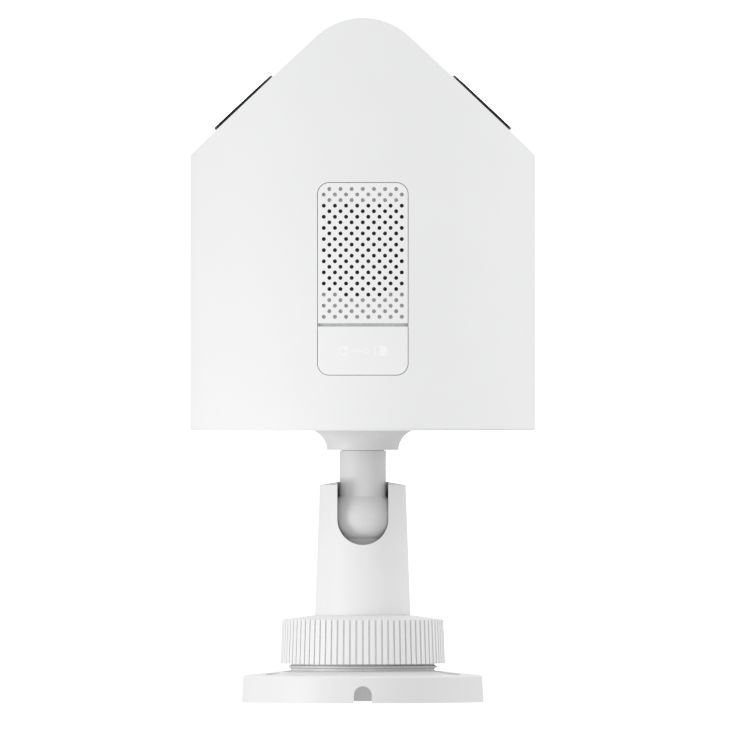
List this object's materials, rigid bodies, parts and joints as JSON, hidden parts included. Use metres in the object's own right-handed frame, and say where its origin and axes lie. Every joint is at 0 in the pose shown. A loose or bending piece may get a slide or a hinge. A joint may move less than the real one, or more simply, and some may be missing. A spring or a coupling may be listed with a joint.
{
  "type": "floodlight security camera",
  "caption": "Round floodlight security camera: lens on a ridge between two sloping lamps, speaker and service door below, on a slotted ball-joint arm with knurled ring and wall plate.",
  "frame": {"origin": "centre of the round wall face of the mount", "axes": "+Z out of the wall along the arm to the front ridge; -Y the underside with grille and service door; +X to the right when facing the underside"},
  "size_m": [0.12, 0.12, 0.2373],
  "materials": {
    "white_shell": "fine satin moulded plastic, cool white",
    "white_mount": "fine satin moulded plastic, neutral white",
    "white_arm": "fine satin moulded plastic, bright neutral white",
    "white_panel": "satin moulded plastic, slightly warmer white",
    "black_gloss": "smoked black polycarbonate, gloss",
    "black_matte": "matte black moulded plastic",
    "black_rubber": "soft matte silicone",
    "grey_rubber": "grey silicone seal",
    "grey_foam": "closed-cell foam",
    "clear_glass": "polished, coated",
    "filter_glass": "infrared-cut coated glass",
    "pir_milk": "milky polyethylene lens",
    "reflector_white": "metallised reflector",
    "light_grey": "glass-filled nylon",
    "board_green": "solder mask over copper",
    "board_white": "white aluminium-core board",
    "chip_black": "epoxy package",
    "led_yellow": "phosphor lens",
    "led_smoke": "infrared-pass epoxy",
    "status_green": "diffuse light pipe",
    "sensor_silicon": "image sensor under cover glass",
    "can_steel": "tin-plated steel",
    "screw_steel": "stainless steel",
    "spring_steel": "hardened spring steel",
    "sink_aluminium": "die-cast aluminium",
    "nut_brass": "turned brass",
    "antenna_copper": "flexible circuit, copper",
    "mesh_fabric": "woven acoustic cloth",
    "cone_paper": "coated paper cone",
    "magnet_steel": "plated magnet",
    "card_black": "memory card moulding"
  },
  "bodies": {
    "base": {"base_plate": "white_mount", "wall_gasket": "grey_foam"},
    "ring_thrust": {"thrust_washer": "light_grey"},
    "ring": {"lock_ring": "white_arm"},
    "arm": {"arm_sleeve": "white_arm", "thrust_post": "light_grey", "seat_spring": "spring_steel", "ball_seat": "light_grey"},
    "stem": {"ball_stem": "white_mount", "stem_oring": "black_rubber", "stem_nut": "nut_brass", "cable_grommet": "black_rubber"},
    "door": {"service_door": "white_panel", "door_seal": "grey_rubber"},
    "card": {"sd_card": "card_black"},
    "button": {"reset_button": "light_grey"},
    "ir_shutter": {"ir_cut_slider": "black_matte", "ir_cut_glasses": "filter_glass"},
    "head": {"rear_collar": "white_mount", "main_housing": "white_shell", "rear_cover": "white_shell", "rear_gasket": "grey_rubber", "rear_screws": "screw_steel", "inner_screws": "screw_steel", "lens_bezel": "black_gloss", "lens_window": "clear_glass", "light_shield": "black_rubber", "lens_barrel": "black_matte", "lens_elements": "clear_glass", "lens_holder": "black_matte", "image_sensor": "sensor_silicon", "sensor_board": "board_green", "camera_bracket": "light_grey", "front_board": "board_green", "ir_leds": "led_smoke", "pir_lens": "pir_milk", "pir_sensor": "can_steel", "microphone": "can_steel", "light_pipe": "status_green", "main_board": "board_green", "board_parts": "chip_black", "antennas": "antenna_copper", "sd_socket": "can_steel", "reset_switch": "chip_black", "speaker_grille": "white_panel", "acoustic_mesh": "mesh_fabric", "speaker_frame": "black_matte", "speaker_magnet": "magnet_steel", "speaker_cone": "cone_paper", "lamp_cover_right": "black_gloss", "lamp_cover_left": "black_gloss", "lamp_reflector_right": "reflector_white", "lamp_reflector_left": "reflector_white", "lamp_board_right": "board_white", "lamp_board_left": "board_white", "lamp_heat_sink_right": "sink_aluminium", "lamp_heat_sink_left": "sink_aluminium", "lamp_gaskets": "black_rubber", "lamp_leds": "led_yellow"}
  },
  "joints": [
    {"name": "arm_pan", "type": "hinge", "parent": "base", "child": "arm", "pos_m": [0, 0, 0.024], "axis": [0, 0, 1], "range_deg": [-180, 180]},
    {"name": "ring_lift", "type": "slide", "parent": "base", "child": "ring_thrust", "axis": [0, 0, 1], "range_m": [0, 0.003]},
    {"name": "ring_turn", "type": "hinge", "parent": "ring_thrust", "child": "ring", "pos_m": [0, 0, 0.022], "axis": [0, 0, 1], "range_deg": [0, 540]},
    {"name": "head_tilt", "type": "hinge", "parent": "arm", "child": "stem", "pos_m": [0, 0, 0.0636], "axis": [1, 0, 0], "range_deg": [0, 78]},
    {"name": "head_roll", "type": "hinge", "parent": "stem", "child": "head", "pos_m": [0, 0, 0.0911], "axis": [0, 0, 1], "range_deg": [-175, 175]},
    {"name": "door_open", "type": "hinge", "parent": "head", "child": "door", "pos_m": [0, -0.05995, 0.11395], "axis": [1, 0, 0], "range_deg": [0, 95]},
    {"name": "card_eject", "type": "slide", "parent": "head", "child": "card", "axis": [0, -1, 0], "range_m": [0, 0.0045]},
    {"name": "reset_press", "type": "slide", "parent": "head", "child": "button", "axis": [0, 1, 0], "range_m": [0, 0.0005], "stiffness_N_per_m": 500, "springref_m": -0.0004},
    {"name": "ir_cut_slide", "type": "slide", "parent": "head", "child": "ir_shutter", "axis": [-1, 0, 0], "range_m": [0, 0.007]}
  ],
  "couplings": [
    {"joint": "ring_turn", "follows": "ring_lift", "rad_per_m": 3141.6}
  ]
}
